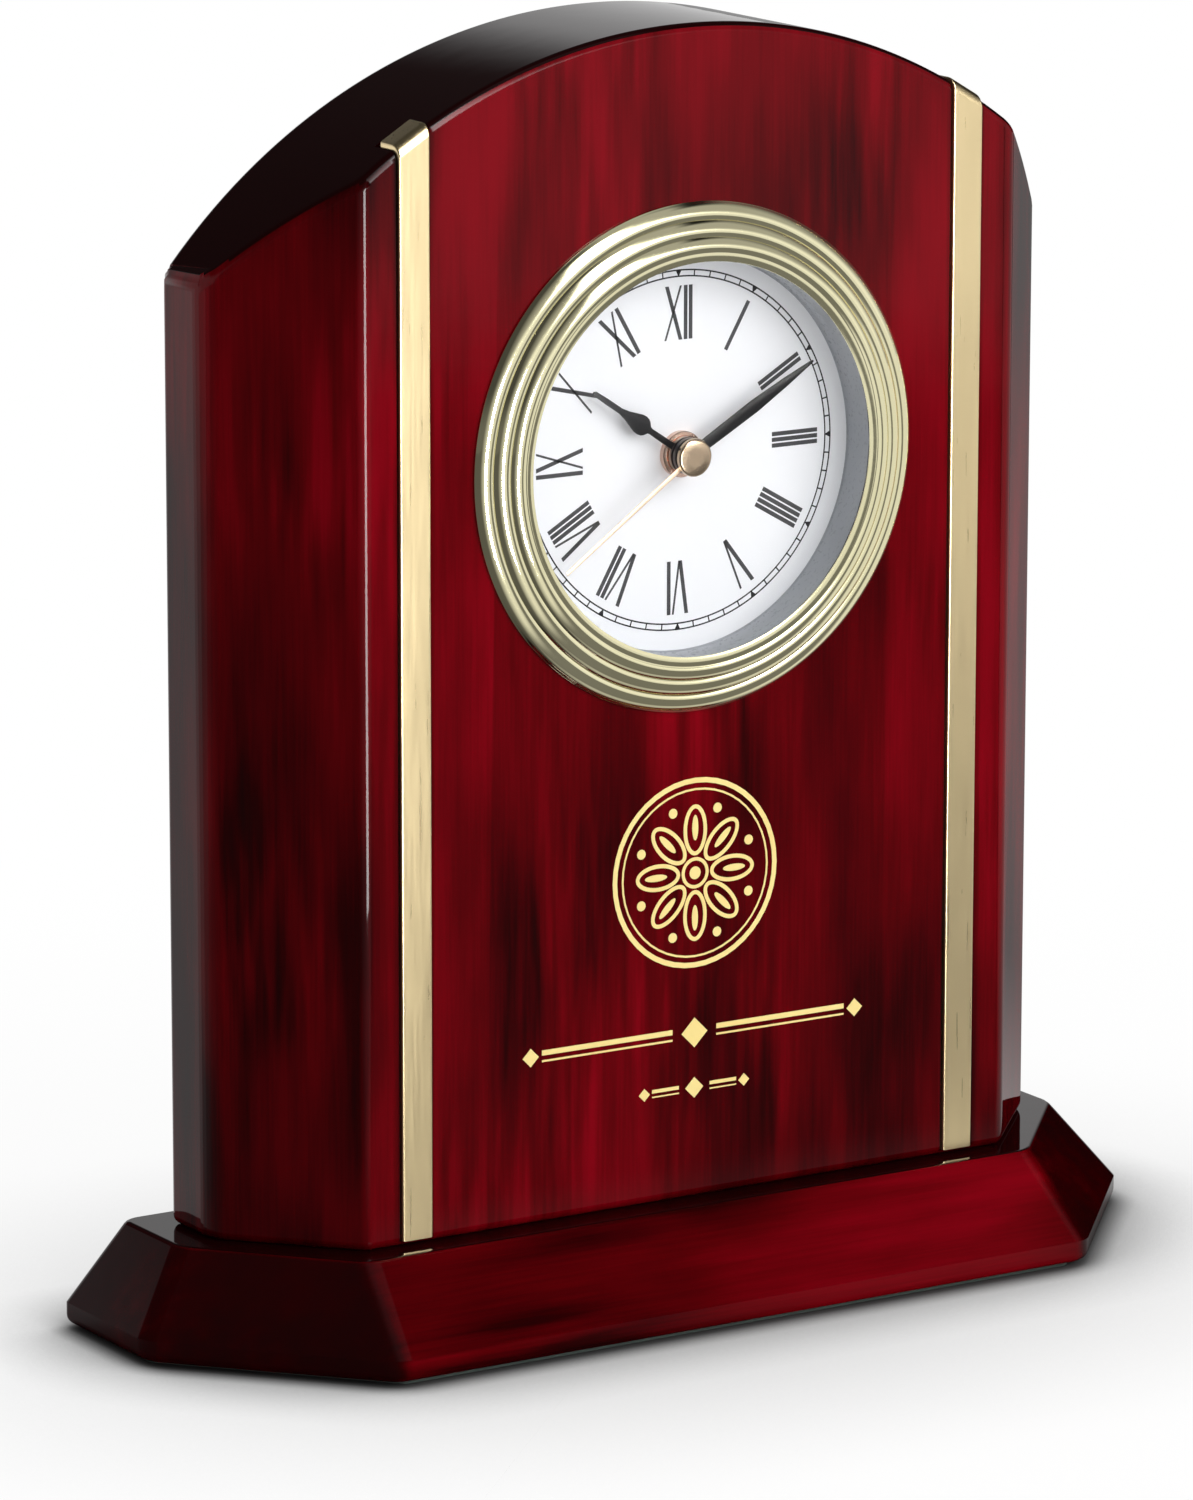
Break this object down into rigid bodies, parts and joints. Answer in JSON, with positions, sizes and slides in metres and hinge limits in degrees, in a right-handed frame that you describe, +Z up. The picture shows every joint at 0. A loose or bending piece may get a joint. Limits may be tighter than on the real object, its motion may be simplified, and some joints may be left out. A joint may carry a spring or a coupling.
{
  "type": "desk clock",
  "caption": "Arched wooden desk clock on a bevelled plinth, with brass strips, a stepped round bezel, a numeral dial and a quartz movement behind it.",
  "frame": {"origin": "middle of the underside of the plinth's felt, on the surface that the clock stands on", "axes": "+Z up, +Y from the dial towards the back of the clock, +X to the right as the dial is read"},
  "size_m": [0.197, 0.0616, 0.218],
  "materials": {
    "lacquered_wood": "high-gloss lacquer over figured red wood",
    "felt": "dense felt",
    "screw_steel": "zinc plated",
    "satin_brass": "satin",
    "polished_brass": "polished",
    "clear_glass": "clear mineral glass",
    "black_rubber": "matt",
    "pale_grey_plastic": "satin",
    "white_dial": "matt white with printed numerals",
    "grey_plastic": "matt",
    "copper_tone_brass": "turned",
    "black_hand": "satin black",
    "black_plastic": "fine moulded texture",
    "nylon": "moulded",
    "motor_steel": "stamped",
    "copper_winding": "enamelled wire",
    "board_green": "solder resist",
    "battery_jacket": "plain film jacket"
  },
  "bodies": {
    "case": {"base_felt": "felt", "base_plinth": "lacquered_wood", "base_screw_left": "screw_steel", "base_screw_right": "screw_steel", "case_body": "lacquered_wood", "brass_strip_left": "satin_brass", "brass_strip_right": "satin_brass", "bezel_ring": "polished_brass", "lens": "clear_glass", "lens_seal": "black_rubber", "reflector_ring": "pale_grey_plastic", "dial_plate": "white_dial", "insert_cup": "grey_plastic", "rubber_sleeve": "black_rubber", "mounting_nut": "copper_tone_brass", "threaded_bushing": "copper_tone_brass", "movement_front_case": "black_plastic", "movement_back_cover": "black_plastic", "train_bridge": "nylon", "stator_plate": "motor_steel", "coil_core": "motor_steel", "coil_bobbin": "nylon", "coil_winding": "copper_winding", "circuit_board": "board_green", "quartz_crystal": "motor_steel", "control_chip": "black_plastic", "contact_positive": "motor_steel", "contact_negative": "motor_steel"},
    "second_arbor": {"second_wheel": "nylon", "second_hand": "satin_brass", "second_hand_cap": "polished_brass"},
    "step_arbor": {"step_wheel": "nylon"},
    "rotor": {"rotor_magnet": "motor_steel", "rotor_pinion": "nylon"},
    "third_arbor": {"third_wheel": "nylon"},
    "centre_wheel": {"centre_wheel": "nylon", "clutch_spring": "motor_steel"},
    "minute_arbor": {"minute_pipe": "nylon", "minute_hand": "black_hand"},
    "hour_pipe": {"hour_wheel": "nylon", "hour_hand": "black_hand"},
    "motion_wheel": {"motion_wheel": "nylon"},
    "setting_knob": {"setting_knob": "nylon"},
    "battery": {"battery": "battery_jacket"}
  },
  "joints": [
    {"name": "second_hand_turn", "type": "hinge", "parent": "case", "child": "second_arbor", "pos_m": [0, -0.0116, 0.1455], "axis": [0, 1, 0], "continuous": true},
    {"name": "step_wheel_turn", "type": "hinge", "parent": "case", "child": "step_arbor", "pos_m": [0.00463, -0.0116, 0.15102], "axis": [0, 1, 0], "continuous": true},
    {"name": "rotor_turn", "type": "hinge", "parent": "case", "child": "rotor", "pos_m": [0.00999, -0.0116, 0.15552], "axis": [0, 1, 0], "continuous": true},
    {"name": "third_wheel_turn", "type": "hinge", "parent": "case", "child": "third_arbor", "pos_m": [-0.00883, -0.0116, 0.1506], "axis": [0, 1, 0], "continuous": true},
    {"name": "centre_wheel_turn", "type": "hinge", "parent": "case", "child": "centre_wheel", "pos_m": [0, -0.0116, 0.1455], "axis": [0, 1, 0], "continuous": true},
    {"name": "minute_hand_turn", "type": "hinge", "parent": "case", "child": "minute_arbor", "pos_m": [0, -0.0116, 0.1455], "axis": [0, 1, 0], "continuous": true},
    {"name": "hour_hand_turn", "type": "hinge", "parent": "case", "child": "hour_pipe", "pos_m": [0, -0.0116, 0.1455], "axis": [0, 1, 0], "continuous": true},
    {"name": "motion_wheel_turn", "type": "hinge", "parent": "case", "child": "motion_wheel", "pos_m": [0.00788, -0.0116, 0.14411], "axis": [0, 1, 0], "continuous": true},
    {"name": "setting_knob_turn", "type": "hinge", "parent": "case", "child": "setting_knob", "pos_m": [0.01615, -0.0116, 0.14265], "axis": [0, 1, 0], "continuous": true},
    {"name": "battery_slide", "type": "slide", "parent": "case", "child": "battery", "axis": [0, 1, 0], "range_m": [0, 0.026]}
  ],
  "couplings": [
    {"joint": "step_wheel_turn", "follows": "second_hand_turn", "ratio": -5},
    {"joint": "rotor_turn", "follows": "second_hand_turn", "ratio": 30},
    {"joint": "third_wheel_turn", "follows": "second_hand_turn", "ratio": -0.13333},
    {"joint": "centre_wheel_turn", "follows": "second_hand_turn", "ratio": 0.016667},
    {"joint": "hour_hand_turn", "follows": "minute_hand_turn", "ratio": 0.083333},
    {"joint": "motion_wheel_turn", "follows": "minute_hand_turn", "ratio": -0.33333},
    {"joint": "setting_knob_turn", "follows": "minute_hand_turn", "ratio": 0.83333}
  ]
}
